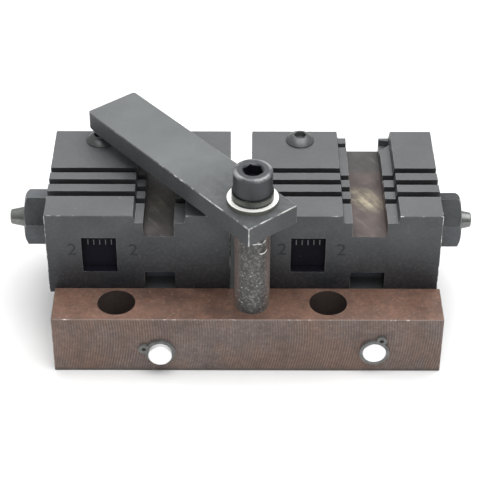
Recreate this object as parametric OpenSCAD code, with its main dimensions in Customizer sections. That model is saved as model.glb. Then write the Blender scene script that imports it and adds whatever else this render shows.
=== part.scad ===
// Bench clamp fixture with two grooved work blocks, a drilled front bar and a swinging clamp arm.
// Origin: on the post's axis, at the underside of the front bar. +X runs along the bar, +Y to the
// back, +Z up. All sizes are in millimetres.

/* [Front bar] */
// Length of the front bar
bar_l = 133; // [125:1:150]
// Depth of the front bar
bar_d = 17; // [16.5:0.5:20]
// Height of the front bar
bar_h = 23; // [22:0.5:28]
// Diameter of the two mounting holes through the bar
mount_hole_d = 13; // [9:0.5:13]
// Distance between the two mounting holes
mount_hole_pitch = 72.4; // [72:0.1:73]

/* [Work blocks] */
// Width of the left work block
left_block_w = 62.5; // [61:0.5:66]
// Width of the right work block
right_block_w = 63.9; // [61:0.1:66]
// Depth of each work block
block_d = 51; // [51:0.5:56]
// Height of the blocks' top above the table
block_top = 54; // [54:0.5:56]
// Width of the left block's channel
left_channel_w = 10.4; // [8:0.2:12]
// Width of the right block's channel
right_channel_w = 11.8; // [8:0.2:12]
// Depth of the channel below the block's top
channel_h = 8.7; // [6:0.1:8.8]
// Width of each of the three cross slots
slot_w = 2.9; // [1.5:0.1:3]
// Depth of the cross slots
slot_h = 5.5; // [3.5:0.1:6]

/* [Clamp arm] */
// Length of the arm
arm_l = 88.8; // [70:0.2:110]
// Width of the arm
arm_w = 20.7; // [18:0.1:26]
// Thickness of the arm
arm_t = 7.2; // [5:0.1:8]
// Height of the arm's underside above the table
arm_z = 59.1; // [59:0.1:70]
// Direction in which the arm points, counted from +X
arm_angle = 129.6; // [0:0.1:180]
// Diameter of the post
post_d = 12; // [11:0.5:14]

/* [Adjusters] */
// Hexagon size of the two adjusting nuts, across flats
nut_af = 17; // [14:0.5:19]
// Height of the left adjusting nut
left_nut_h = 8.9; // [7:0.1:12]
// Height of the right adjusting nut
right_nut_h = 8.6; // [7:0.1:12]
// Spacing of the scale's graduations
tick_pitch = 2; // [1:0.1:2.5]

/* [Hidden] */
$fn = 64;

// Radial clearances: a running fit and a fixed fit
run_gap = 0.05;
fix_gap = 0.02;
// Overshoot of a cut past the face that it breaks through
cut = 1;

bar_x0 = -68;
// The post stands slightly behind the middle of the bar
bar_front = -9;
bar_back = bar_front + bar_d;
bar_chamfer = 0.25;

// Facing inner sides of the two blocks, and their outer sides
left_inner = -7.4;
right_inner = 0.2;
left_outer = left_inner - left_block_w;
right_outer = right_inner + right_block_w;
block_bottom = 21;
block_chamfer = 0.2;

// The channel and the keyway under it share one centre line in each block; the ledges differ in width
left_channel_x = -31.5;
right_channel_x = 39.7;
ledge_left_w = 3.35;
ledge_right_w = 4.05;
ledge_h = 3;
// How far the ledges' outer walls lean in over the ledges' depth
ledge_draft = 0.55;
slot_ys = [20.6, 27.6, 34.5];
keyway_h = 9;
// Cuts at the back of the right block's ledges
back_slot_y = 54.4;
back_slot_w = 2.5;
back_cut_y0 = 50.7;
back_cut_y1 = 58.2;
back_cut_slope = 4;

// Window, and the chamber behind it in which the scale slide travels
left_window_x = -51.9;
right_window_x = 19.1;
window_w = 11.8;
window_z0 = 30.2;
window_z1 = 44.6;
wall = 3;
chamber_dx0 = -12.6;
chamber_dx1 = 12.8;
chamber_d = 35;
slide_w = 15.6;
slide_gap = 0.15;
slide_lift = 3;
tick_h = 2.2;
tick_w = 0.35;
tick_depth = 0.25;
tick_drop = 2.9;
tick_count = 5;

// Spindles: the axis heights of the two blocks differ slightly
spindle_y = 29.8;
left_spindle_z = 37.4;
right_spindle_z = 36.4;
spindle_r = 5;
left_shaft_end = left_window_x + chamber_dx1 + 4;
right_shaft_end = right_window_x + chamber_dx0 - 3;
shaft_end_gap = 0.5;
left_tip_l = 5.5;
right_tip_l = 4.1;
tip_end_r = 2.6;
tip_taper = 0.19;
tip_bevel = 0.3;
left_nut_turn = 12.4;
right_nut_turn = 7.5;
nut_chamfer = 1;
nut_face_inset = 0.2;
nut_corner_margin = 0.3;
collar_l = 1.3;
collar_rim = 2;
collar_gap = 0.1;

// Saddle under the blocks
saddle_x0 = -62;
saddle_x1 = 57;
saddle_d = 50;
key_y0 = bar_back + 9;
key_d = 28;
key_z0 = 15;
key_h = 12;

// Guide pins through the bar into the saddle, and the snap rings on their front ends
left_pin_x = -31.3;
right_pin_x = 41.95;
pin_z = 9;
pin_r = 4;
pin_bevel = 0.3;
left_pin_out = 2.9;
right_pin_out = 1.3;
pin_in = 36;
pin_end_gap = 2;
clip_t = 1;
clip_r = 5.1;
clip_neck_w = 3;
ear_x = 5.75;
ear_r = 1.75;
ear_hole_r = 0.75;

// Button-head screws that hold the blocks down
button_dx = -1.9;
button_y = 53;
button_r = 4.95;
button_h = 2.5;
button_rim = 0.5;
button_land_r = 2.6;
button_dome_z = (pow(button_land_r, 2) + pow(button_h, 2) - pow(button_r, 2) - pow(button_rim, 2))
    / (2 * (button_h - button_rim));
button_dome_r = norm([button_r, button_rim - button_dome_z]);
button_af = 4;
button_socket_h = 1.9;
button_shank_r = 3;
button_z0 = 7;

// Cap screw, washers and post on the arm's pivot
arm_inset = 11.2;
arm_shift = 0.65;
arm_round = 2;
nose_l = 6;
nose_h = 1.5;
arm_hole_r = 4.5;
arm_chamfer = 0.3;
washer_r = 8.5;
washer_t = 1.5;
washer_gap = 0.2;
lock_r = 6.95;
lock_t = 2.9;
lock_gap = 0.1;
lock_split = 1;
lock_split_tilt = 25;
lock_split_turn = 120;
lock_z = arm_z + arm_t + washer_t;
screw_r = 4;
head_r = 6.5;
head_h = 8;
head_round = 0.9;
head_af = 6;
head_turn = 45;
socket_h = 4;
sink_r0 = 3.1;
sink_r1 = 3.7;
sink_h = 0.5;
head_z = lock_z + lock_t;
screw_l = 25;
post_z0 = 4;
post_bore_z0 = 43;
mount_hole_x = -46.3;

// ---- Shared shapes ----

// Rectangle with its four corners cut at 45 degrees
module cut_rect(a, b, c) {
    polygon([
        [c, 0], [a - c, 0], [a, c], [a, b - c],
        [a - c, b], [c, b], [0, b - c], [0, c]
    ]);
}

// Box from the origin to [l, d, h] with chamfered edges
module chamfer_box(l, d, h, c) {
    intersection() {
        linear_extrude(h) cut_rect(l, d, c);
        translate([0, d, 0]) rotate([90, 0, 0]) linear_extrude(d) cut_rect(l, h, c);
        rotate([90, 0, 90]) linear_extrude(l) cut_rect(d, h, c);
    }
}

// Hexagonal prism along +Z, af across its flats
module hex(af, h) {
    cylinder(r = af / 2 / cos(30), h = h, $fn = 6);
}

// Height of a spindle's axis; side is -1 for the left block and +1 for the right one
function spindle_z(side) = side < 0 ? left_spindle_z : right_spindle_z;

// Cylinder along +X from x0 to x1 on a spindle's axis
module on_spindle(side, x0, x1, r) {
    translate([x0, spindle_y, spindle_z(side)]) rotate([0, 90, 0]) cylinder(r = r, h = x1 - x0);
}

// ---- Front bar and its pins ----

module front_bar() {
    color([0.36, 0.24, 0.20]) difference() {
        translate([bar_x0, bar_front, 0]) chamfer_box(bar_l, bar_d, bar_h, bar_chamfer);
        for (x = [mount_hole_x, mount_hole_x + mount_hole_pitch])
            translate([x, 0, -cut]) cylinder(d = mount_hole_d, h = bar_h + 2 * cut);
        translate([0, 0, post_z0]) cylinder(r = post_d / 2 + fix_gap, h = bar_h);
        for (x = [left_pin_x, right_pin_x])
            translate([x, bar_back + cut, pin_z]) rotate([90, 0, 0])
                cylinder(r = pin_r + fix_gap, h = bar_d + 2 * cut);
    }
}

// Guide pin whose front end stands out of the bar's front face by the length given
module guide_pin(x, out) {
    straight = pin_in + bar_d + out - pin_bevel;
    color([0.85, 0.86, 0.87]) translate([x, bar_back + pin_in, pin_z]) rotate([90, 0, 0]) {
        cylinder(r = pin_r, h = straight);
        translate([0, 0, straight]) cylinder(r1 = pin_r, r2 = pin_r - pin_bevel, h = pin_bevel);
    }
}

// Snap ring on the front end of a guide pin; its drilled ear points along the angle given
module clip(x, ear_angle) {
    color([0.16, 0.17, 0.18]) translate([x, bar_front, pin_z]) rotate([90, 0, 0]) rotate([0, 0, ear_angle])
        difference() {
            union() {
                cylinder(r = clip_r, h = clip_t);
                translate([0, -clip_neck_w / 2, 0]) cube([ear_x, clip_neck_w, clip_t]);
                translate([ear_x, 0, 0]) cylinder(r = ear_r, h = clip_t);
            }
            translate([0, 0, -cut]) cylinder(r = pin_r + fix_gap, h = clip_t + 2 * cut);
            translate([ear_x, 0, -cut]) cylinder(r = ear_hole_r, h = clip_t + 2 * cut);
        }
}

module left_guide_pin() { guide_pin(left_pin_x, left_pin_out); }
module right_guide_pin() { guide_pin(right_pin_x, right_pin_out); }
module left_clip() { clip(left_pin_x, 166); }
module right_clip() { clip(right_pin_x, 66); }

// ---- Saddle under the blocks ----

module saddle() {
    color([0.14, 0.15, 0.16]) difference() {
        translate([saddle_x0, bar_back, 0])
            chamfer_box(saddle_x1 - saddle_x0, saddle_d, block_bottom, bar_chamfer);
        translate([left_channel_x - left_channel_w / 2, key_y0, key_z0])
            cube([left_channel_w, key_d, key_h]);
        translate([right_channel_x - right_channel_w / 2, key_y0, key_z0])
            cube([right_channel_w, key_d, key_h]);
        for (x = [left_pin_x, right_pin_x])
            translate([x, bar_back + pin_in + pin_end_gap, pin_z]) rotate([90, 0, 0])
                cylinder(r = pin_r + fix_gap, h = pin_in + pin_end_gap + cut);
        for (x = [left_window_x, right_window_x])
            translate([x + button_dx, button_y, button_z0 - cut])
                cylinder(r = button_shank_r + fix_gap, h = block_bottom);
    }
}

module key(x, w) {
    color([0.16, 0.16, 0.17]) translate([x - w / 2, key_y0, key_z0]) cube([w, key_d, key_h]);
}

module left_key() { key(left_channel_x, left_channel_w); }
module right_key() { key(right_channel_x, right_channel_w); }

// ---- Work blocks ----

// A block from x0 to x1; its chamber, window and hold-down screw are placed from the window's middle
module block(x0, x1, window_x, channel_x, channel_w) {
    ledge_x0 = channel_x - channel_w / 2 - ledge_left_w;
    ledge_x1 = channel_x + channel_w / 2 + ledge_right_w;
    difference() {
        translate([x0, bar_back, block_bottom])
            chamfer_box(x1 - x0, block_d, block_top - block_bottom, block_chamfer);
        // channel, and its two ledges with their sloping outer walls
        translate([channel_x - channel_w / 2, bar_back - cut, block_top - channel_h])
            cube([channel_w, block_d + 2 * cut, channel_h + cut]);
        translate([0, bar_back + block_d + cut, block_top - ledge_h]) rotate([90, 0, 0])
            linear_extrude(block_d + 2 * cut)
                polygon([
                    [ledge_x0 + ledge_draft, 0], [ledge_x1 - ledge_draft, 0], [ledge_x1, ledge_h],
                    [ledge_x1, ledge_h + cut], [ledge_x0, ledge_h + cut], [ledge_x0, ledge_h]
                ]);
        // cross slots
        for (y = slot_ys)
            translate([x0 - cut, y - slot_w / 2, block_top - slot_h])
                cube([x1 - x0 + 2 * cut, slot_w, slot_h + cut]);
        // keyway along the underside
        translate([channel_x - channel_w / 2, bar_back - cut, block_bottom - cut])
            cube([channel_w, block_d + 2 * cut, keyway_h + cut]);
        // window, and the chamber behind it, open at the underside
        translate([window_x - window_w / 2, bar_back - cut, window_z0])
            cube([window_w, wall + 2 * cut, window_z1 - window_z0]);
        translate([window_x + chamber_dx0, bar_back + wall, block_bottom - cut])
            cube([chamber_dx1 - chamber_dx0, chamber_d, window_z1 - block_bottom + cut]);
        translate([window_x + button_dx, button_y, block_bottom - cut])
            cylinder(r = button_shank_r + fix_gap, h = block_top);
    }
}

// Short slot across the left ledge, and a cut with one slanted side across the right ledge
module back_cuts(channel_x, channel_w) {
    left_x = channel_x - channel_w / 2 - ledge_left_w + ledge_draft;
    inner_x = channel_x + channel_w / 2 - cut;
    outer_x = channel_x + channel_w / 2 + ledge_right_w - ledge_draft;
    translate([left_x, back_slot_y - back_slot_w / 2, block_top - slot_h])
        cube([ledge_left_w - ledge_draft + cut, back_slot_w, slot_h]);
    translate([0, 0, block_top - slot_h])
        linear_extrude(slot_h)
            polygon([
                [inner_x, back_cut_y0 - cut], [outer_x, back_cut_y0 + back_cut_slope],
                [outer_x, back_cut_y1 - cut], [inner_x, back_cut_y1]
            ]);
}

module left_block() {
    color([0.19, 0.20, 0.21]) difference() {
        block(left_outer, left_inner, left_window_x, left_channel_x, left_channel_w);
        on_spindle(-1, left_outer - cut, left_shaft_end + shaft_end_gap, spindle_r + run_gap);
    }
}

module right_block() {
    color([0.19, 0.20, 0.21]) difference() {
        block(right_inner, right_outer, right_window_x, right_channel_x, right_channel_w);
        on_spindle(1, right_shaft_end - shaft_end_gap, right_outer + cut, spindle_r + run_gap);
        back_cuts(right_channel_x, right_channel_w);
    }
}

module button_screw(window_x) {
    color([0.24, 0.25, 0.26]) translate([window_x + button_dx, button_y, 0]) difference() {
        union() {
            translate([0, 0, button_z0]) cylinder(r = button_shank_r, h = block_top - button_z0 + button_rim);
            translate([0, 0, block_top]) rotate_extrude() button_profile();
        }
        translate([0, 0, block_top + button_h - button_socket_h]) hex(button_af, button_h);
    }
}

// Half section of the domed head: an upright rim, an arc, and a flat land on top
module button_profile() {
    intersection() {
        square([button_r, button_h]);
        translate([0, button_dome_z]) circle(r = button_dome_r);
    }
}

module left_button_screw() { button_screw(left_window_x); }
module right_button_screw() { button_screw(right_window_x); }

// ---- Adjusters: nut, spindle, collar and scale slide ----

// Spindle from its inner end to the nut's outer face, then a tapered tip with a small bevel
module spindle(side, inner, outer, nut_h, tip_l) {
    face = outer + side * nut_h;
    color([0.22, 0.23, 0.24]) {
        on_spindle(side, min(inner, face), max(inner, face), spindle_r);
        translate([face, spindle_y, spindle_z(side)]) rotate([0, side * 90, 0]) {
            cylinder(r1 = tip_end_r + tip_taper * tip_l, r2 = tip_end_r, h = tip_l - tip_bevel);
            translate([0, 0, tip_l - tip_bevel])
                cylinder(r1 = tip_end_r, r2 = tip_end_r - tip_bevel, h = tip_bevel);
        }
    }
}

// Hexagon nut whose corners are turned down to a cone at both ends
module nut(side, outer, nut_h, turn) {
    color([0.21, 0.23, 0.24]) translate([outer, spindle_y, spindle_z(side)]) rotate([0, side * 90, 0])
        difference() {
            intersection() {
                rotate([0, 0, side * turn]) hex(nut_af, nut_h);
                rotate_extrude() turned_profile(nut_af / 2 - nut_face_inset,
                    nut_af / 2 / cos(30) + nut_corner_margin, nut_h, nut_chamfer);
            }
            translate([0, 0, -cut]) cylinder(r = spindle_r + fix_gap, h = nut_h + 2 * cut);
        }
}

// Half section of a turned blank: radius r0 at both faces, widening to r1 at distance c from them
module turned_profile(r0, r1, h, c) {
    polygon([[0, 0], [r0, 0], [r1, c], [r1, h - c], [r0, h], [0, h]]);
}

module collar(side, x0) {
    color([0.5, 0.5, 0.5]) difference() {
        on_spindle(side, x0, x0 + collar_l, spindle_r + collar_rim);
        on_spindle(side, x0 - cut, x0 + collar_l + cut, spindle_r + fix_gap);
    }
}

// Graduated slide behind a window, bored for the spindle
module scale_slide(side, window_x) {
    y0 = bar_back + wall + slide_gap;
    z0 = block_bottom + slide_lift;
    z1 = window_z1 - slide_gap;
    tick_x0 = window_x - (tick_count - 1) / 2 * tick_pitch - tick_w / 2;
    color([0.12, 0.12, 0.13]) difference() {
        translate([window_x - slide_w / 2, y0, z0]) cube([slide_w, chamber_d - 2 * slide_gap, z1 - z0]);
        on_spindle(side, window_x - slide_w, window_x + slide_w, spindle_r + run_gap);
        for (i = [0 : tick_count - 1])
            translate([tick_x0 + i * tick_pitch, y0 - cut, z1 - tick_drop - tick_h])
                cube([tick_w, cut + tick_depth, tick_h]);
    }
}

module left_spindle() { spindle(-1, left_shaft_end, left_outer, left_nut_h, left_tip_l); }
module right_spindle() { spindle(1, right_shaft_end, right_outer, right_nut_h, right_tip_l); }
module left_nut() { nut(-1, left_outer, left_nut_h, left_nut_turn); }
module right_nut() { nut(1, right_outer, right_nut_h, right_nut_turn); }
module left_collar() { collar(-1, left_window_x + chamber_dx0 + collar_gap); }
module right_collar() { collar(1, right_window_x + chamber_dx1 - collar_gap - collar_l); }
module left_scale_slide() { scale_slide(-1, left_window_x); }
module right_scale_slide() { scale_slide(1, right_window_x); }

// ---- Post, arm and clamp screw ----

module post() {
    color([0.42, 0.41, 0.39]) difference() {
        translate([0, 0, post_z0]) cylinder(d = post_d, h = arm_z - post_z0);
        translate([0, 0, post_bore_z0]) cylinder(r = screw_r + run_gap, h = arm_z);
    }
}

// Outline of the arm, with its corners rounded at the free end
module arm_outline() {
    square([arm_l - arm_round, arm_w]);
    translate([0, arm_round]) square([arm_l, arm_w - 2 * arm_round]);
    for (y = [arm_round, arm_w - arm_round])
        translate([arm_l - arm_round, y]) circle(r = arm_round);
}

// Wedge that lifts the underside towards the free end
module nose_wedge() {
    slope = nose_h / nose_l;
    translate([0, arm_w + cut, 0]) rotate([90, 0, 0]) linear_extrude(arm_w + 2 * cut)
        polygon([
            [arm_l - nose_l, 0], [arm_l - nose_l, -cut],
            [arm_l + cut, -cut], [arm_l + cut, nose_h + cut * slope]
        ]);
}

module swing_arm() {
    color([0.25, 0.26, 0.28]) rotate([0, 0, arm_angle]) difference() {
        translate([-arm_inset, arm_shift - arm_w / 2, arm_z]) difference() {
            intersection() {
                chamfer_box(arm_l, arm_w, arm_t, arm_chamfer);
                linear_extrude(arm_t) arm_outline();
            }
            nose_wedge();
        }
        translate([0, 0, arm_z - cut]) cylinder(r = arm_hole_r, h = arm_t + 2 * cut);
    }
}

module flat_washer() {
    color([0.88, 0.88, 0.86]) translate([0, 0, arm_z + arm_t]) difference() {
        cylinder(r = washer_r, h = washer_t);
        translate([0, 0, -cut]) cylinder(r = screw_r + washer_gap, h = washer_t + 2 * cut);
    }
}

// Split spring washer
module lock_washer() {
    color([0.45, 0.44, 0.40]) translate([0, 0, lock_z]) difference() {
        cylinder(r = lock_r, h = lock_t);
        translate([0, 0, -cut]) cylinder(r = screw_r + lock_gap, h = lock_t + 2 * cut);
        rotate([lock_split_tilt, 0, lock_split_turn]) translate([0, -lock_split / 2, -lock_r])
            cube([2 * lock_r, lock_split, 2 * lock_r]);
    }
}

module cap_screw() {
    head_top = head_z + head_h;
    color([0.20, 0.21, 0.23]) difference() {
        union() {
            translate([0, 0, head_z - screw_l]) cylinder(r = screw_r, h = screw_l + cut);
            translate([0, 0, head_z]) rotate_extrude() head_profile();
        }
        translate([0, 0, head_top - socket_h]) rotate([0, 0, head_turn]) hex(head_af, socket_h + cut);
        translate([0, 0, head_top - sink_h]) cylinder(r1 = sink_r0, r2 = sink_r1, h = sink_h);
    }
}

// Half section of the cap screw's head, with a rounded top rim
module head_profile() {
    square([head_r, head_h - head_round]);
    square([head_r - head_round, head_h]);
    translate([head_r - head_round, head_h - head_round]) circle(r = head_round);
}

front_bar();
saddle();
left_block();
right_block();
left_key();
right_key();
left_guide_pin();
right_guide_pin();
left_clip();
right_clip();
post();
swing_arm();
flat_washer();
lock_washer();
cap_screw();
left_button_screw();
right_button_screw();
left_spindle();
right_spindle();
left_nut();
right_nut();
left_collar();
right_collar();
left_scale_slide();
right_scale_slide();
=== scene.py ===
"""Looks for the two-block clamp fixture: materials, engraved marks, floor, light and camera."""
import math

import bmesh
import bpy
from mathutils import Matrix, Vector


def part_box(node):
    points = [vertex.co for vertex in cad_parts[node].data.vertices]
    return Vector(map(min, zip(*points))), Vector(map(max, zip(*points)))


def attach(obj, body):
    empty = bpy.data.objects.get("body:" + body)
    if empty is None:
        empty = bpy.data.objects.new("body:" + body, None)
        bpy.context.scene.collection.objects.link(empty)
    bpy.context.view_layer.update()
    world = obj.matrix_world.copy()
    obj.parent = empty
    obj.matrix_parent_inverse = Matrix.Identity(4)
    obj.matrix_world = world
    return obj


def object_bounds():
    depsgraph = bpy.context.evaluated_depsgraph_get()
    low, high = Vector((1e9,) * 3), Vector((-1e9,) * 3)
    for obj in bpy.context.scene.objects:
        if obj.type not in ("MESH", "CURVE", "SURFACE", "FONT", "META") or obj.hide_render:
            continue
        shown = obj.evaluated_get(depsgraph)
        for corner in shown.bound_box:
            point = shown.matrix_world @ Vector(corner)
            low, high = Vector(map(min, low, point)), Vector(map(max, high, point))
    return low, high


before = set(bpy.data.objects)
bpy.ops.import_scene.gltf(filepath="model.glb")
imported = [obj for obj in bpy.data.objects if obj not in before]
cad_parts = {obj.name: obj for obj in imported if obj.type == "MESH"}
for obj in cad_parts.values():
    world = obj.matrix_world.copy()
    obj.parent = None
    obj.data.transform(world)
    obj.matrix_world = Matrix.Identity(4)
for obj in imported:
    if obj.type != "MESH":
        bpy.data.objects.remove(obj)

CAD_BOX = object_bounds()
MM = 0.001
SIDES = ("left", "right")

# ---- Where the finishes change, in metres ----

# a box that picks faces is this much larger or smaller than the faces' own span
FACE_SLACK = 0.15 * MM

# bar: the holes' insides are painted dark as shade from this far in. The cutter's marks have a pitch, a
# bend and the height of the cutter's path
BORE_RIM = 0.5 * MM
BAR_MARK_PITCH = 0.92 * MM
BAR_MARK_BEND = 9.0
BAR_MARK_PATH = 16.0 * MM

# blocks: painted shade darkens the sides from the first height, below their tops, to the second, above their
# feet
PAINTED_SHADE_BELOW_TOP = 6.0 * MM
PAINTED_SHADE_ABOVE_FOOT = 2.0 * MM
# the stretch of a block, front to back, that its three cross slots take up
SLOT_ZONE = (18.0 * MM, 37.0 * MM)
# how far past a scale slide's face the window's reveals are painted near-black as shade
REVEAL_REACH = 2.0 * MM

# channels: how deep the floor and the ledges lie below the block's top
CHANNEL_DEPTH = 8.7 * MM
LEDGE_DEPTH = 3.0 * MM
# how brown each floor is and how much painted gold sheen it shows, from 0 to 1
CHANNEL_WARMTH = {"left": 0.25, "right": 1.0}
FLOOR_MARK_PITCH = 0.85 * MM
FLOOR_MARK_BEND = 55.0
# the gold patch, a painted sheen on a polished spot: its place as a share of the floor's length, its radius,
# and its and the scratches' turn
GOLD_SHEEN_PLACE = 0.42
GOLD_SHEEN_RADIUS = 6.4 * MM
GOLD_SHEEN_AND_SCRATCH_TURN = math.radians(57)

# arm: how far it is turned about the post
ARM_TURN = math.radians(129.6)
# rubbing and stains are strongest within the first distance of the post's axis, and end at the second
RUBBED_NEAR = (14.0 * MM, 42.0 * MM)
STAINED_NEAR = (10.0 * MM, 30.0 * MM)

# post: the pale painted glints on the pits are faint above the first height and full below the second
GLINT_HEIGHTS = (50.0 * MM, 28.0 * MM)
# for each dent: its distance across, its height and its radius
POST_DENTS = (
    (0.7 * MM, 53.4 * MM, 1.2 * MM),
    (2.9 * MM, 53.3 * MM, 1.5 * MM),
    (3.6 * MM, 49.0 * MM, 1.5 * MM),
)

# cap screw: the pitch of the turned rings, and the circle round the hexagon socket, inside which painted
# shade darkens it
RING_PITCH = 0.55 * MM
SOCKET_RADIUS = 3.9 * MM
# lock washer: it is free of painted shade between the first height, above its foot, and the second, below its
# top; beyond them painted shade darkens it where it meets the flat washer and the head
SHADE_FREE_ABOVE_FOOT = 0.7 * MM
SHADE_FREE_BELOW_TOP = 0.45 * MM

# ---- Sizes of the marks, in metres ----

TICK_COUNT = 5
TICK_PITCH = 2.0 * MM
# width, depth and height of a tick
TICK_SIZE = (0.28 * MM, 0.2 * MM, 2.1 * MM)
# how far a tick's top lies below the slide's top, and its front behind the slide's face
TICK_TOP = 2.95 * MM
TICK_INSET = 0.02 * MM
NUMERAL_SIZE = 6.9 * MM
NUMERAL_DEPTH = 0.03 * MM
# for each numeral: where it stands, its distance from the window's middle and its drop below the slide's top
NUMERALS = {
    "left": (("outer", -9.2 * MM, 4.9 * MM), ("inner", 11.6 * MM, 5.1 * MM)),
    "right": (("outer", -8.9 * MM, 4.7 * MM), ("inner", 11.2 * MM, 4.9 * MM)),
}

# ---- Node materials ----


class Shade:
    """One node material. Each call adds nodes and returns the socket that carries the result."""

    def __init__(self, name):
        self.material = bpy.data.materials.new(name)
        self.material.use_nodes = True
        self.tree = self.material.node_tree
        self.shader = self.tree.nodes["Principled BSDF"]
        self.place = self.node("ShaderNodeTexCoord").outputs["Object"]

    def node(self, kind, inputs=None, **settings):
        made = self.tree.nodes.new(kind)
        for name, value in settings.items():
            setattr(made, name, value)
        for name, value in (inputs or {}).items():
            self.feed(made.inputs[name], value)
        return made

    def feed(self, socket, value):
        if isinstance(value, bpy.types.NodeSocket):
            self.tree.links.new(value, socket)
        else:
            socket.default_value = value

    def set(self, **sockets):
        for name, value in sockets.items():
            self.feed(self.shader.inputs[name.replace("_", " ")], value)

    def moved(self, offset=(0, 0, 0), turn=(0, 0, 0), stretch=(1, 1, 1), vector=None):
        inputs = {"Vector": vector or self.place, "Location": offset, "Rotation": turn, "Scale": stretch}
        return self.node("ShaderNodeMapping", inputs).outputs["Vector"]

    def noise(self, scale, detail=4.0, rough=0.55, vector=None):
        inputs = {"Vector": vector or self.place, "Scale": scale, "Detail": detail, "Roughness": rough}
        return self.node("ShaderNodeTexNoise", inputs).outputs["Fac"]

    def pits(self, scale):
        inputs = {"Vector": self.place, "Scale": scale}
        return self.node("ShaderNodeTexVoronoi", inputs).outputs["Distance"]

    def distance(self, vector):
        return self.node("ShaderNodeVectorMath", {0: vector}, operation="LENGTH").outputs["Value"]

    def from_post(self):
        """Distance from the post's axis, which is the frame's Z axis, whatever the height."""
        return self.distance(self.moved(stretch=(1, 1, 0)))

    def facing_up(self):
        """1 on faces that look up, 0 on upright ones, in the piece's own directions."""
        normal = self.node("ShaderNodeTexCoord").outputs["Normal"]
        return self.between(self.axis(normal, "Z"), 0.5, 0.9)

    def facing_front(self):
        """1 on faces that look to the front or the back, 0 on the others, in the piece's own directions."""
        normal = self.node("ShaderNodeTexCoord").outputs["Normal"]
        return self.between(self.math("ABSOLUTE", self.axis(normal, "Y")), 0.5, 0.9)

    def math(self, what, a, b=0.0):
        return self.node("ShaderNodeMath", {0: a, 1: b}, operation=what).outputs[0]

    def times(self, a, b):
        return self.math("MULTIPLY", a, b)

    def plus(self, a, b):
        return self.math("ADD", a, b)

    def axis(self, vector, letter):
        return self.node("ShaderNodeSeparateXYZ", {"Vector": vector}).outputs[letter]

    def between(self, value, low, high, out_low=0.0, out_high=1.0):
        inputs = {"Value": value, "From Min": low, "From Max": high, "To Min": out_low, "To Max": out_high}
        return self.node("ShaderNodeMapRange", inputs).outputs["Result"]

    def mix(self, factor, a, b):
        made = self.node("ShaderNodeMix", data_type="RGBA")
        # the node has sockets for every kind of data: these are the factor and the two colours
        self.feed(made.inputs[0], factor)
        self.feed(made.inputs[6], a)
        self.feed(made.inputs[7], b)
        return made.outputs[2]

    def tint(self, tone, mask, amount, colour):
        """The tone with a colour laid over it, as strongly as the mask times the amount."""
        return self.mix(self.times(mask, amount), tone, colour)

    def wave(self, phase, pitch):
        """Smooth 0 to 1 ripple that repeats each time phase grows by pitch."""
        turned = self.math("SINE", self.times(phase, 2 * math.pi / pitch))
        return self.between(turned, -1.0, 1.0)

    def bump(self, height, depth, strength, under=None):
        inputs = {"Height": height, "Distance": depth, "Strength": strength}
        if under is not None:
            inputs["Normal"] = under
        return self.node("ShaderNodeBump", inputs).outputs["Normal"]

    def edges(self, radius):
        """1 along convex and concave edges, 0 on the faces between them."""
        soft = self.node("ShaderNodeBevel", {"Radius": radius}, samples=6).outputs["Normal"]
        hard = self.node("ShaderNodeNewGeometry").outputs["Normal"]
        same = self.node("ShaderNodeVectorMath", {0: soft, 1: hard}, operation="DOT_PRODUCT").outputs["Value"]
        return self.between(same, 0.985, 0.86)


def rgb(red, green, blue):
    return (red, green, blue, 1.0)


def scaled(tone, factor):
    """A tone made darker or lighter by a factor."""
    return rgb(*[factor * part for part in tone])


def radius_of(node):
    """Half of a piece's width along x."""
    low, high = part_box(node)
    return (high.x - low.x) / 2


def middle_x(node):
    low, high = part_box(node)
    return (low.x + high.x) / 2


def worn_edges(shade, radius, amount):
    """Edge mask broken up by noise, so that the finish is rubbed off in patches."""
    patches = shade.between(shade.noise(260.0, 5.0, 0.65), 0.40, 0.62)
    return shade.times(shade.times(shade.edges(radius), patches), amount)


def oxide(name, dark, light, rough, wear, metal=0.25, top=None, painted_shade_heights=None, spec=0.5, stain=0.0):
    """Black-oxided steel: mottled tone, fine grain, stray pale specks and rubbed edges.

    wear is how strongly the edges are rubbed. top is the paler tone of a ground upper face. fade is a
    height range over which painted shade darkens the faces downwards, darkest at its lower end. stain is how
    strongly the upper face darkens near the post.
    """
    shade = Shade(name)
    mottle = shade.between(shade.noise(70.0, 6.0, 0.6), 0.30, 0.72)
    grain = shade.noise(900.0, 3.0, 0.6)
    tone = shade.mix(mottle, rgb(*dark), rgb(*light))
    if painted_shade_heights:
        # painted shade: the faces darken downwards over the height range
        low = shade.between(shade.axis(shade.place, "Z"), painted_shade_heights[1], painted_shade_heights[0])
        tone = shade.tint(tone, low, 0.85, rgb(0.004, 0.004, 0.007))
    if top:
        ground = shade.mix(mottle, scaled(top, 0.90), scaled(top, 1.10))
        if stain:
            nearest, farthest = STAINED_NEAR
            near = shade.between(shade.from_post(), farthest, nearest, 0.0, stain)
            blot = shade.between(shade.noise(210.0, 6.0, 0.7), 0.30, 0.62, 0.45, 1.0)
            ground = shade.mix(shade.times(near, blot), ground, rgb(0.030, 0.032, 0.034))
        tone = shade.mix(shade.facing_up(), tone, ground)
    tone = shade.mix(shade.between(grain, 0.45, 0.75, 0.0, 0.18), tone, scaled(light, 2.0))
    specks = shade.between(shade.noise(620.0, 2.0, 0.5), 0.735, 0.80)
    tone = shade.tint(tone, specks, 0.4, rgb(0.26, 0.26, 0.25))
    tone = shade.mix(worn_edges(shade, 0.3 * MM, wear), tone, rgb(0.42, 0.42, 0.41))
    smear = shade.between(shade.noise(45.0, 5.0, 0.7), 0.3, 0.7, rough - 0.07, rough + 0.09)
    height = shade.plus(grain, shade.times(shade.noise(260.0, 4.0), 0.8))
    shade.set(Base_Color=tone, Roughness=smear, Metallic=metal, Specular_IOR_Level=spec)
    shade.set(Normal=shade.bump(height, 0.03 * MM, 0.35))
    return shade.material


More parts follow.
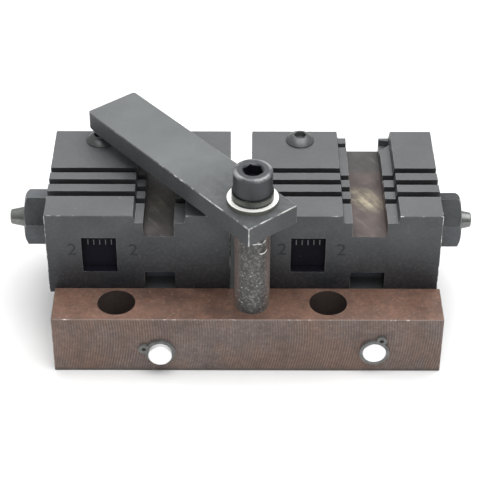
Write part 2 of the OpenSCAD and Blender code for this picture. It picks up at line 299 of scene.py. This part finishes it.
def rubbed_edge(name, under, bare, cover, around_post=0.0):
    """Narrow edge face whose finish is rubbed through to bare metal in places.

    cover is how much of it is bare, and around_post is how much more of it is bare near the post.
    """
    shade = Shade(name)
    nearest, farthest = RUBBED_NEAR
    near = shade.between(shade.from_post(), farthest, nearest, 0.0, around_post)
    amount = shade.plus(shade.noise(230.0, 6.0, 0.7), near)
    patches = shade.between(amount, 0.60 - cover, 0.72 - cover)
    shade.set(Base_Color=shade.mix(patches, rgb(*under), rgb(*bare)), Metallic=0.4)
    shade.set(Roughness=shade.between(patches, 0.0, 1.0, 0.50, 0.34))
    shade.set(Normal=shade.bump(shade.noise(900.0, 4.0), 0.03 * MM, 0.5))
    return shade.material


def socket_screw(name, dark, light):
    """Cap screw: turned rings on top, a painted highlight round the rim, painted shade in the socket and
    faint upright strokes down its side.
    """
    shade = Shade(name)
    across = shade.from_post()
    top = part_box("cap_screw")[1].z
    radius = radius_of("cap_screw")
    mottle = shade.between(shade.noise(160.0, 6.0, 0.6), 0.30, 0.72)
    tone = shade.mix(mottle, rgb(*dark), rgb(*light))
    rings = shade.times(shade.wave(across, RING_PITCH), shade.facing_up())
    tone = shade.tint(tone, rings, 0.25, rgb(0.12, 0.125, 0.13))
    z = shade.axis(shade.place, "Z")
    # painted highlight along the top's outer edge, in patches
    outer = shade.between(across, radius - 1.5 * MM, radius - 0.9 * MM)
    rim = shade.times(outer, shade.between(z, top - 1.3 * MM, top - 0.5 * MM))
    patches = shade.between(shade.noise(190.0, 5.0, 0.6), 0.42, 0.60, 0.12, 1.0)
    rim = shade.times(rim, patches)
    tone = shade.tint(tone, rim, 0.60, rgb(0.34, 0.35, 0.35))
    # painted shade inside the hexagon socket
    below = shade.between(z, top, top - 0.8 * MM)
    inside = shade.between(across, SOCKET_RADIUS, SOCKET_RADIUS - 0.5 * MM)
    socket = shade.times(inside, below)
    tone = shade.mix(socket, tone, rgb(0.006, 0.006, 0.010))
    strokes = shade.noise(500.0, 3.0, 0.6, shade.moved(stretch=(1, 1, 0.12)))
    height = shade.plus(strokes, rings)
    shade.set(Base_Color=tone, Metallic=0.35, Normal=shade.bump(height, 0.03 * MM, 0.4))
    shade.set(Roughness=shade.between(mottle, 0.0, 1.0, 0.36, 0.50))
    return shade.material


def browned_bar():
    """Browned steel bar: rusty mottling, dark stains, arcs from the face mill on the front and back, and a
    painted shadow along its foot.
    """
    shade = Shade("bar_brown")
    x, z = shade.axis(shade.place, "X"), shade.axis(shade.place, "Z")
    on_top = shade.facing_up()
    mottle = shade.between(shade.noise(95.0, 7.0, 0.66), 0.33, 0.68)
    rust = shade.between(shade.noise(42.0, 6.0, 0.65), 0.42, 0.60)
    speckle = shade.between(shade.noise(640.0, 5.0, 0.75), 0.38, 0.60)
    side = shade.mix(mottle, rgb(0.112, 0.084, 0.075), rgb(0.228, 0.172, 0.154))
    side = shade.tint(side, rust, 0.75, rgb(0.205, 0.118, 0.080))
    top = shade.mix(mottle, rgb(0.088, 0.047, 0.032), rgb(0.190, 0.102, 0.072))
    top = shade.tint(top, rust, 0.6, rgb(0.200, 0.104, 0.070))
    tone = shade.mix(on_top, side, top)
    stains = shade.between(shade.noise(75.0, 7.0, 0.72, shade.moved(offset=(3.0, 1.0, 2.0))), 0.52, 0.66)
    tone = shade.tint(tone, stains, 0.42, rgb(0.058, 0.040, 0.034))
    tone = shade.tint(tone, speckle, 0.40, rgb(0.050, 0.036, 0.032))
    flecks = shade.between(shade.noise(1500.0, 3.0, 0.6), 0.60, 0.70)
    tone = shade.tint(tone, flecks, 0.35, rgb(0.36, 0.28, 0.24))
    # milling arcs: the phase bends above and below the cutter's path, as its rim leaves them
    off_path = shade.math("SUBTRACT", z, BAR_MARK_PATH)
    bend = shade.times(shade.times(off_path, off_path), BAR_MARK_BEND)
    wobble = shade.times(shade.noise(45.0, 2.0), 0.9 * MM)
    phase = shade.plus(shade.plus(x, bend), wobble)
    lines = shade.wave(phase, BAR_MARK_PITCH)
    strength = shade.between(shade.noise(50.0, 3.0), 0.30, 0.62, 0.25, 1.0)
    lines = shade.times(shade.times(lines, strength), shade.facing_front())
    tone = shade.tint(tone, lines, 0.62, rgb(0.040, 0.032, 0.031))
    # painted shadow along the foot, where the bar meets the floor
    foot = shade.between(z, 1.6 * MM, 0.5 * MM)
    tone = shade.tint(tone, foot, 0.70, rgb(0.045, 0.046, 0.040))
    tone = shade.mix(worn_edges(shade, 0.35 * MM, 0.5), tone, rgb(0.40, 0.31, 0.27))
    fine = shade.bump(shade.noise(1100.0, 3.0), 0.03 * MM, 0.4)
    shade.set(Base_Color=tone, Metallic=0.2, Normal=shade.bump(lines, 0.05 * MM, 0.5, fine))
    shade.set(Roughness=shade.between(mottle, 0.0, 1.0, 0.46, 0.62))
    return shade.material


def channel_floor(name, block, x_middle, warm):
    """Bare milled floor of a channel: grey behind, brown in front, with a gold patch of painted sheen on a
    polished spot.

    warm is how much of the brown and gold shows. At 0 the whole floor is grey.
    """
    low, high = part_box(block)
    depth = high.y - low.y
    shade = Shade(name)
    here = shade.moved(offset=(-x_middle, -low.y - GOLD_SHEEN_PLACE * depth, CHANNEL_DEPTH - high.z))
    x, y = shade.axis(here, "X"), shade.axis(here, "Y")
    # the painted sheen and the fine scratches both run slantwise, towards the front right
    along = shade.moved(turn=(0, 0, GOLD_SHEEN_AND_SCRATCH_TURN), vector=here)
    spot = shade.distance(shade.moved(stretch=(0.7, 1, 1), vector=along))
    scratch = shade.noise(420.0, 4.0, 0.7, shade.moved(stretch=(0.10, 1, 1), vector=along))
    arc = shade.times(shade.times(x, x), FLOOR_MARK_BEND)
    wobble = shade.times(shade.noise(120.0, 2.0), 1.6 * MM)
    lines = shade.wave(shade.plus(shade.plus(y, arc), wobble), FLOOR_MARK_PITCH)
    blotch = shade.between(shade.noise(150.0, 5.0, 0.6), 0.35, 0.68)
    brown = shade.mix(blotch, rgb(0.050, 0.038, 0.036), rgb(0.094, 0.072, 0.067))
    grey = shade.mix(blotch, rgb(0.037, 0.037, 0.036), rgb(0.062, 0.060, 0.059))
    behind = shade.between(shade.plus(y, wobble), 0.31 * depth, 0.37 * depth)
    tone = shade.mix(shade.math("MAXIMUM", behind, 1.0 - warm), brown, grey)
    # gold patch: painted sheen, broken up by the scratches
    gold = shade.times(shade.between(spot, GOLD_SHEEN_RADIUS, GOLD_SHEEN_RADIUS / 4), warm)
    gold = shade.times(gold, shade.between(scratch, 0.36, 0.62, 0.10, 0.90))
    gold = shade.times(gold, shade.between(shade.noise(330.0, 4.0, 0.6), 0.36, 0.60, 0.35, 1.0))
    tone = shade.mix(gold, tone, rgb(0.42, 0.37, 0.25))
    tone = shade.tint(tone, lines, 0.22, rgb(0.045, 0.038, 0.036))
    tone = shade.mix(shade.between(scratch, 0.55, 0.72, 0.0, 0.35), tone, rgb(0.19, 0.165, 0.15))
    fine = shade.bump(scratch, 0.03 * MM, 0.5)
    shade.set(Base_Color=tone, Metallic=0.3, Normal=shade.bump(lines, 0.04 * MM, 0.4, fine))
    shade.set(Roughness=shade.between(blotch, 0.0, 1.0, 0.38, 0.52))
    return shade.material


def struck_dent(shade, centre, radius):
    """Masks for a dent in the post's front: its hollow, darkened as painted shade, and the bright lip along
    its lower side, a painted highlight.
    """
    away = shade.moved(offset=-centre)
    # a flat oval that rises to the right
    oval = shade.moved(turn=(0, math.radians(18), 0), stretch=(1, 1, 1.9), vector=away)
    out = shade.distance(oval)
    hollow_and_shade = shade.between(out, radius, 0.6 * radius)
    lip_and_glint = shade.between(shade.math("ABSOLUTE", shade.math("SUBTRACT", out, radius)), 0.60 * MM, 0.25 * MM)
    lip_and_glint = shade.times(lip_and_glint, shade.between(shade.noise(700.0, 3.0, 0.6), 0.36, 0.50))
    below = shade.between(shade.axis(oval, "Z"), 0.1 * MM, -0.9 * MM)
    return hollow_and_shade, shade.times(lip_and_glint, below)


def pitted_post():
    """Dark steel post: dense small pits, scattered pale painted glints, brown flanks, and struck dents with
    painted shade in their hollows and a painted highlight on their lower lips.
    """
    shade = Shade("post_steel")
    radius = radius_of("post")
    mottle = shade.between(shade.noise(150.0, 6.0, 0.7), 0.34, 0.68)
    tone = shade.mix(mottle, rgb(0.032, 0.031, 0.031), rgb(0.078, 0.076, 0.073))
    side = shade.math("ABSOLUTE", shade.axis(shade.place, "X"))
    flank = shade.between(side, 0.62 * radius, 0.95 * radius, 0.0, 0.80)
    tone = shade.mix(flank, tone, rgb(0.215, 0.160, 0.138))
    crackle = shade.between(shade.noise(1100.0, 5.0, 0.75), 0.50, 0.60)
    tone = shade.tint(tone, crackle, 0.55, rgb(0.25, 0.25, 0.245))
    low_down = shade.between(shade.axis(shade.place, "Z"), *GLINT_HEIGHTS, 0.25, 1.0)
    # pale painted glints on the pits, also raised in the bump
    glint_dots = shade.times(shade.between(shade.pits(640.0), 0.26, 0.16), low_down)
    glint_dots = shade.times(glint_dots, shade.between(shade.noise(200.0, 3.0), 0.46, 0.58))
    tone = shade.tint(tone, glint_dots, 0.8, rgb(0.50, 0.50, 0.49))
    normal = shade.bump(shade.plus(shade.noise(520.0, 5.0, 0.65), glint_dots), 0.08 * MM, 0.6)
    for across, z, size in POST_DENTS:
        centre = Vector((across, -math.sqrt(radius ** 2 - across ** 2), z))
        hollow_and_shade, lip_and_glint = struck_dent(shade, centre, size)
        # painted shade in the hollow and a painted highlight on the lip; both masks also shape the bump
        tone = shade.tint(tone, hollow_and_shade, 0.5, rgb(0.030, 0.030, 0.030))
        tone = shade.mix(lip_and_glint, tone, rgb(0.88, 0.88, 0.86))
        normal = shade.bump(shade.math("SUBTRACT", lip_and_glint, hollow_and_shade), 0.35 * MM, 0.7, normal)
    shade.set(Base_Color=tone, Metallic=0.3, Normal=normal)
    shade.set(Roughness=shade.between(mottle, 0.0, 1.0, 0.42, 0.58))
    return shade.material


def bright_steel(name, tone, rough, ring_pitch=0.0, side=None):
    """Bright metal, with faint turning rings when ring_pitch is given and a duller rim when side is."""
    shade = Shade(name)
    cloud = shade.between(shade.noise(210.0, 5.0, 0.6), 0.3, 0.7)
    dull = scaled(tone, 0.92)
    colour = shade.mix(cloud, dull, rgb(*tone))
    if side:
        colour = shade.mix(shade.facing_up(), rgb(*side), colour)
    shade.set(Base_Color=colour, Metallic=0.45)
    shade.set(Roughness=shade.between(cloud, 0.0, 1.0, rough, rough + 0.14))
    grain = shade.noise(1200.0, 3.0)
    if ring_pitch:
        grain = shade.plus(grain, shade.wave(shade.axis(shade.place, "Y"), ring_pitch))
    shade.set(Normal=shade.bump(grain, 0.015 * MM, 0.4))
    return shade.material


def spring_steel(name, dark, light, shade_free_heights=None):
    """Oiled spring steel with rubbed edges. clean is the range of heights left out of the painted shade."""
    shade = Shade(name)
    mottle = shade.between(shade.noise(300.0, 5.0, 0.6), 0.35, 0.66)
    tone = shade.mix(mottle, rgb(*dark), rgb(*light))
    if shade_free_heights:
        z = shade.axis(shade.place, "Z")
        low, high = shade_free_heights
        # painted shade in the gaps where the washer meets the pieces above and below it
        below = shade.between(z, low + 0.3 * MM, low - 0.1 * MM)
        above = shade.between(z, high - 0.1 * MM, high + 0.1 * MM)
        tone = shade.mix(shade.math("MAXIMUM", below, above), tone, rgb(0.006, 0.006, 0.006))
    tone = shade.mix(worn_edges(shade, 0.2 * MM, 0.4), tone, rgb(0.40, 0.40, 0.37))
    shade.set(Base_Color=tone, Metallic=0.4)
    shade.set(Roughness=shade.between(mottle, 0.0, 1.0, 0.32, 0.46))
    shade.set(Normal=shade.bump(shade.noise(900.0, 3.0), 0.02 * MM, 0.4))
    return shade.material


def mark_paint(name, tone, rough):
    """Colour in engraved marks, thinner in places: pale paint in the ticks, painted shade in the numerals."""
    shade = Shade(name)
    worn = shade.between(shade.noise(900.0, 4.0, 0.6), 0.30, 0.62)
    thin = scaled(tone, 0.55)
    shade.set(Base_Color=shade.mix(worn, thin, rgb(*tone)), Roughness=rough)
    shade.set(Normal=shade.bump(shade.noise(1400.0, 2.0), 0.02 * MM, 0.3))
    return shade.material


def floor_paper():
    """Matte white paper sweep with a trace of fibre."""
    shade = Shade("floor_paper")
    fibre = shade.between(shade.noise(40.0, 4.0), 0.3, 0.7)
    shade.set(Base_Color=shade.mix(fibre, rgb(0.68, 0.68, 0.68), rgb(0.71, 0.71, 0.71)), Roughness=0.9)
    return shade.material


# ---- Putting materials on the CAD pieces ----


def paint(node, material):
    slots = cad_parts[node].data.materials
    slots.clear()
    slots.append(material)


def paint_where(node, material, chosen):
    """Gives another material to the faces that chosen picks."""
    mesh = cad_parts[node].data
    mesh.materials.append(material)
    extra = len(mesh.materials) - 1
    for face in mesh.polygons:
        if chosen(face):
            face.material_index = extra


def paint_inside(node, material, low, high, across_y=False):
    """Paints the faces whose middles lie inside the box from low to high, or just those that look along y."""
    def chosen(face):
        inside = all(a <= c <= b for a, c, b in zip(low, face.center, high))
        return inside and (abs(face.normal.y) > 0.9 or not across_y)

    paint_where(node, material, chosen)


def paint_chamfers(node, material, turn=0.0, upright=False):
    """Paints the narrow faces that lean at 45 degrees along a piece's edges, or just its upright edges."""
    straighten = Matrix.Rotation(-turn, 3, "Z")

    def chosen(face):
        # at 45 degrees, a normal has two equal parts and a third that is near 0
        least, middle, most = sorted(abs(c) for c in straighten @ face.normal)
        return least < 0.2 and most - middle < 0.1 and (abs(face.normal.z) < 0.2 or not upright)

    paint_where(node, material, chosen)


def channel_span(side):
    """The x range of a block's channel, read from the key that sits under it."""
    low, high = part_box(side + "_key")
    return low.x - FACE_SLACK, high.x + FACE_SLACK


def paint_bar():
    edge = rubbed_edge("bar_edge", under=(0.150, 0.112, 0.098), bare=(0.56, 0.50, 0.47), cover=0.05)
    # the holes' insides: a darker oxide as painted shade
    bore = oxide("bore_painted_shade", (0.030, 0.021, 0.019), (0.056, 0.040, 0.035), rough=0.60, wear=0.1, metal=0.1)
    paint("front_bar", browned_bar())
    paint_chamfers("front_bar", edge)
    low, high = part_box("front_bar")
    rim = Vector((1, 1, 1)) * BORE_RIM
    paint_inside("front_bar", bore, low + rim, high - rim)


def paint_arm():
    arm = oxide("arm_black", (0.044, 0.047, 0.050), (0.066, 0.070, 0.074), rough=0.44, wear=0.5,
                top=(0.108, 0.114, 0.116), stain=0.8)
    edge = rubbed_edge("arm_edge", under=(0.090, 0.094, 0.097), bare=(0.50, 0.50, 0.49), cover=0.04,
                       around_post=0.10)
    paint("swing_arm", arm)
    paint_chamfers("swing_arm", edge, ARM_TURN)


def paint_clamp_screw():
    low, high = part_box("lock_washer")
    shade_free_heights = (low.z + SHADE_FREE_ABOVE_FOOT, high.z - SHADE_FREE_BELOW_TOP)
    paint("cap_screw", socket_screw("screw_black", (0.024, 0.026, 0.030), (0.044, 0.047, 0.052)))
    paint("lock_washer", spring_steel("lock_steel", (0.050, 0.053, 0.048), (0.100, 0.105, 0.092), shade_free_heights))
    paint("flat_washer", bright_steel("zinc", (0.95, 0.95, 0.92), rough=0.22, side=(0.15, 0.155, 0.135)))


def block_finish():
    """The blocks' and saddle's black: ground tops, and faces darkened downwards by painted shade."""
    low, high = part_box("left_block")
    # the heights over which painted shade darkens the faces
    painted_shade_heights = (low.z + PAINTED_SHADE_ABOVE_FOOT, high.z - PAINTED_SHADE_BELOW_TOP)
    return oxide("block_black", (0.036, 0.039, 0.042), (0.060, 0.064, 0.068), rough=0.46, wear=0.45,
                 top=(0.077, 0.080, 0.082), painted_shade_heights=painted_shade_heights)


def paint_channel(side):
    """The bare floor of a block's channel."""
    node = side + "_block"
    low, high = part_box(node)
    low_x, high_x = channel_span(side)
    under_floor = high.z - CHANNEL_DEPTH - FACE_SLACK
    under_ledge = high.z - LEDGE_DEPTH - FACE_SLACK
    middle = (low_x + high_x) / 2
    floor = channel_floor(side + "_channel_floor", node, middle, CHANNEL_WARMTH[side])
    paint_inside(node, floor, (low_x, low.y, under_floor), (high_x, high.y, under_ledge))


def paint_slots(side, material):
    """The walls of a block's cross slots, painted near-black as shade."""
    node = side + "_block"
    low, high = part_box(node)
    front, back = SLOT_ZONE
    foot = high.z - CHANNEL_DEPTH
    paint_inside(node, material, (low.x, front, foot), (high.x, back, high.z), across_y=True)


def paint_window(side, material):
    """A window's reveals, from just behind the block's front to just behind the scale slide's face, painted
    near-black as shade.
    """
    node = side + "_block"
    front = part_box(node)[0].y + FACE_SLACK
    low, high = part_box(side + "_scale_slide")
    paint_inside(node, material, (low.x, front, low.z), (high.x, low.y + REVEAL_REACH, high.z))


def paint_blocks():
    """Saddle, blocks and scale slides."""
    black = block_finish()
    edge = rubbed_edge("block_edge", under=(0.064, 0.067, 0.070), bare=(0.52, 0.52, 0.51), cover=0.05)
    # upright edges: rubbed wear together with a painted highlight, paler all along than the other edges
    corner = rubbed_edge("block_corner_wear_and_highlight", under=(0.110, 0.112, 0.112), bare=(0.78, 0.78, 0.76), cover=0.13)
    # the slots' walls: painted shade
    slot = oxide("slot_painted_shade", (0.012, 0.012, 0.014), (0.022, 0.022, 0.024), rough=0.60, wear=0.2, metal=0.1)
    # near-black for the scale slides and the window reveals: the slides' own black, deepened as painted shade
    # in the window
    scale = oxide("scale_dark", (0.003, 0.003, 0.006), (0.005, 0.005, 0.010), rough=0.70, wear=0.1,
                  metal=0.0, spec=0.15)
    paint("saddle", black)
    for side in SIDES:
        node = side + "_block"
        paint(node, black)
        paint_chamfers(node, edge)
        paint_chamfers(node, corner, upright=True)
        paint_channel(side)
        paint_slots(side, slot)
        paint_window(side, scale)
        paint(side + "_scale_slide", scale)


def paint_nuts():
    """Nuts with flats painted darker where they face half upwards, a painted dark reflection, and a rubbed
    rim round their rounded ends.
    """
    black = oxide("nut_black", (0.054, 0.060, 0.066), (0.092, 0.100, 0.108), rough=0.46, wear=0.5, metal=0.3)
    # a darker copy of the nut's black for the half-upward flats: painted dark reflection
    dark_reflection = oxide("nut_painted_reflection", (0.014, 0.016, 0.017), (0.036, 0.039, 0.041), rough=0.54, wear=0.4,
                   metal=0.2, spec=0.2)
    rim = rubbed_edge("nut_rim", under=(0.080, 0.086, 0.088), bare=(0.32, 0.33, 0.32), cover=0.08)
    for side in SIDES:
        node = side + "_nut"
        paint(node, black)
        # the flats that look half upwards, darkened as a painted reflection, then the rounded end, which
        # leans away from the spindle
        paint_where(node, dark_reflection, lambda face: 0.15 < face.normal.z < 0.95)
        paint_where(node, rim, lambda face: 0.15 < abs(face.normal.x) < 0.97)


def paint_fittings():
    """The other small pieces that each block has one of."""
    key = oxide("key_dark", (0.046, 0.049, 0.064), (0.070, 0.074, 0.094), rough=0.55, wear=0.2, metal=0.1)
    button = oxide("button_black", (0.050, 0.052, 0.053), (0.085, 0.087, 0.088), rough=0.36, wear=0.5,
                   metal=0.35)
    spindle = oxide("spindle_steel", (0.100, 0.105, 0.104), (0.180, 0.185, 0.178), rough=0.28, wear=0.5,
                    metal=0.7)
    spring = spring_steel("clip_steel", (0.080, 0.084, 0.082), (0.165, 0.170, 0.165))
    pin = bright_steel("pin_bright", (0.96, 0.96, 0.96), rough=0.16, ring_pitch=0.4 * MM)
    finishes = {"key": key, "button_screw": button, "spindle": spindle, "clip": spring, "collar": spring,
                "guide_pin": pin}
    for side in SIDES:
        for piece, material in finishes.items():
            paint(side + "_" + piece, material)


def paint_all():
    paint_bar()
    paint("post", pitted_post())
    paint_arm()
    paint_clamp_screw()
    paint_blocks()
    paint_nuts()
    paint_fittings()


# ---- Marks that the CAD doesn't carry ----


def place_piece(name, mesh, material, body):
    """A visual piece that rides on a body, with one material."""
    piece = bpy.data.objects.new(name, mesh)
    bpy.context.scene.collection.objects.link(piece)
    mesh.materials.clear()
    mesh.materials.append(material)
    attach(piece, body)


def scale_marks(side, infill):
    """Pale infill in the graduations of a scale slide."""
    slide = side + "_scale_slide"
    low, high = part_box(slide)
    made = bmesh.new()
    for i in range(TICK_COUNT):
        x = middle_x(slide) + (i - (TICK_COUNT - 1) / 2) * TICK_PITCH
        centre = Vector((x, low.y + TICK_INSET + TICK_SIZE[1] / 2, high.z - TICK_TOP - TICK_SIZE[2] / 2))
        where = Matrix.Translation(centre) @ Matrix.Diagonal((*TICK_SIZE, 1.0))
        bmesh.ops.create_cube(made, size=1.0, matrix=where)
    mesh = bpy.data.meshes.new(side + "_scale_marks")
    made.to_mesh(mesh)
    made.free()
    place_piece(side + "_scale_marks", mesh, infill, side + "_scale")


def numeral(name, x, z, groove_shade):
    """A numeral 2 on a block's front face, as a thin dark inlay of painted shade for its engraved groove."""
    curve = bpy.data.curves.new(name, "FONT")
    curve.body = "2"
    curve.size = NUMERAL_SIZE
    curve.extrude = NUMERAL_DEPTH
    curve.align_x = "CENTER"
    curve.align_y = "CENTER"
    drawn = bpy.data.objects.new(name + "_drawn", curve)
    bpy.context.scene.collection.objects.link(drawn)
    bpy.context.view_layer.update()
    mesh = bpy.data.meshes.new_from_object(drawn)
    bpy.data.objects.remove(drawn)
    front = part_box("left_block")[0].y
    stand = Matrix.Translation((x, front, z)) @ Matrix.Rotation(math.radians(90), 4, "X")
    mesh.transform(stand)
    place_piece(name, mesh, groove_shade, "base")


def add_marks():
    pale = mark_paint("scale_paint", (0.16, 0.165, 0.165), rough=0.6)
    # the numerals' dark: painted shade in their engraved grooves
    groove_shade = mark_paint("numeral_shadow", (0.018, 0.018, 0.021), rough=0.7)
    for side in SIDES:
        scale_marks(side, pale)
        slide = side + "_scale_slide"
        slide_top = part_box(slide)[1].z
        for where, dx, drop in NUMERALS[side]:
            numeral(side + "_numeral_" + where, middle_x(slide) + dx, slide_top - drop, groove_shade)


# ---- Floor, light and camera ----

# places and distances are in metres, angles in degrees, lens and sensor in millimetres
CAMERA_PLACE = (-0.0047, -0.4292, 0.3805)
CAMERA_PITCH = 37.59
CAMERA_YAW = 0.08
CAMERA_ROLL = 0.18
CAMERA_LENS = 122.48
CAMERA_SENSOR = 36.0
CAMERA_NEAREST = 0.01
FLOOR_HALF = 3.0


def add_floor():
    mesh = bpy.data.meshes.new("floor")
    half = FLOOR_HALF
    z = CAD_BOX[0].z
    corners = [(-half, -half, z), (half, -half, z), (half, half, z), (-half, half, z)]
    mesh.from_pydata(corners, [], [(0, 1, 2, 3)])
    floor = bpy.data.objects.new("floor", mesh)
    bpy.context.scene.collection.objects.link(floor)
    mesh.materials.append(floor_paper())


def add_light(name, place, size, power, aim):
    """Rectangular lamp that looks at aim."""
    lamp = bpy.data.lights.new(name, "AREA")
    lamp.shape = "RECTANGLE"
    lamp.size, lamp.size_y = size
    lamp.energy = power
    item = bpy.data.objects.new(name, lamp)
    item.location = place
    item.rotation_euler = (Vector(aim) - Vector(place)).to_track_quat("-Z", "Y").to_euler()
    bpy.context.scene.collection.objects.link(item)


def add_world():
    """Studio air: bright above and behind the object, dim low down in front of it."""
    world = bpy.data.worlds.new("studio")
    bpy.context.scene.world = world
    world.use_nodes = True
    tree = world.node_tree
    direction = tree.nodes.new("ShaderNodeTexCoord").outputs["Generated"]
    toward = tree.nodes.new("ShaderNodeVectorMath")
    toward.operation = "DOT_PRODUCT"
    # where the air is brightest
    toward.inputs[1].default_value = (0.0, 0.6, 0.8)
    tree.links.new(direction, toward.inputs[0])
    ramp = tree.nodes.new("ShaderNodeMapRange")
    ramp.inputs["From Min"].default_value = -0.5
    ramp.inputs["From Max"].default_value = 1.0
    ramp.inputs["To Min"].default_value = 0.15
    ramp.inputs["To Max"].default_value = 0.75
    tree.links.new(toward.outputs["Value"], ramp.inputs["Value"])
    sky = tree.nodes["Background"]
    sky.inputs["Color"].default_value = rgb(1.0, 1.0, 1.0)
    tree.links.new(ramp.outputs["Result"], sky.inputs["Strength"])


def add_lights():
    middle = tuple((CAD_BOX[0] + CAD_BOX[1]) / 2)
    add_light("overhead", place=(0.09, 0.03, 0.74), size=(1.05, 0.80), power=11.8, aim=middle)
    add_light("front", place=(0.05, -0.85, 0.42), size=(0.7, 0.5), power=2.2, aim=middle)


def add_camera():
    data = bpy.data.cameras.new("camera")
    data.lens = CAMERA_LENS
    data.sensor_width = CAMERA_SENSOR
    data.clip_start = CAMERA_NEAREST
    camera = bpy.data.objects.new("camera", data)
    yaw = Matrix.Rotation(math.radians(-CAMERA_YAW), 4, "Z")
    pitch = Matrix.Rotation(math.radians(90 - CAMERA_PITCH), 4, "X")
    roll = Matrix.Rotation(math.radians(CAMERA_ROLL), 4, "Z")
    camera.matrix_world = Matrix.Translation(CAMERA_PLACE) @ yaw @ pitch @ roll
    bpy.context.scene.collection.objects.link(camera)
    bpy.context.scene.camera = camera


add_camera()
paint_all()
add_marks()
add_floor()
add_world()
add_lights()
bpy.context.scene.view_settings.view_transform = "Standard"

bpy.context.view_layer.update()
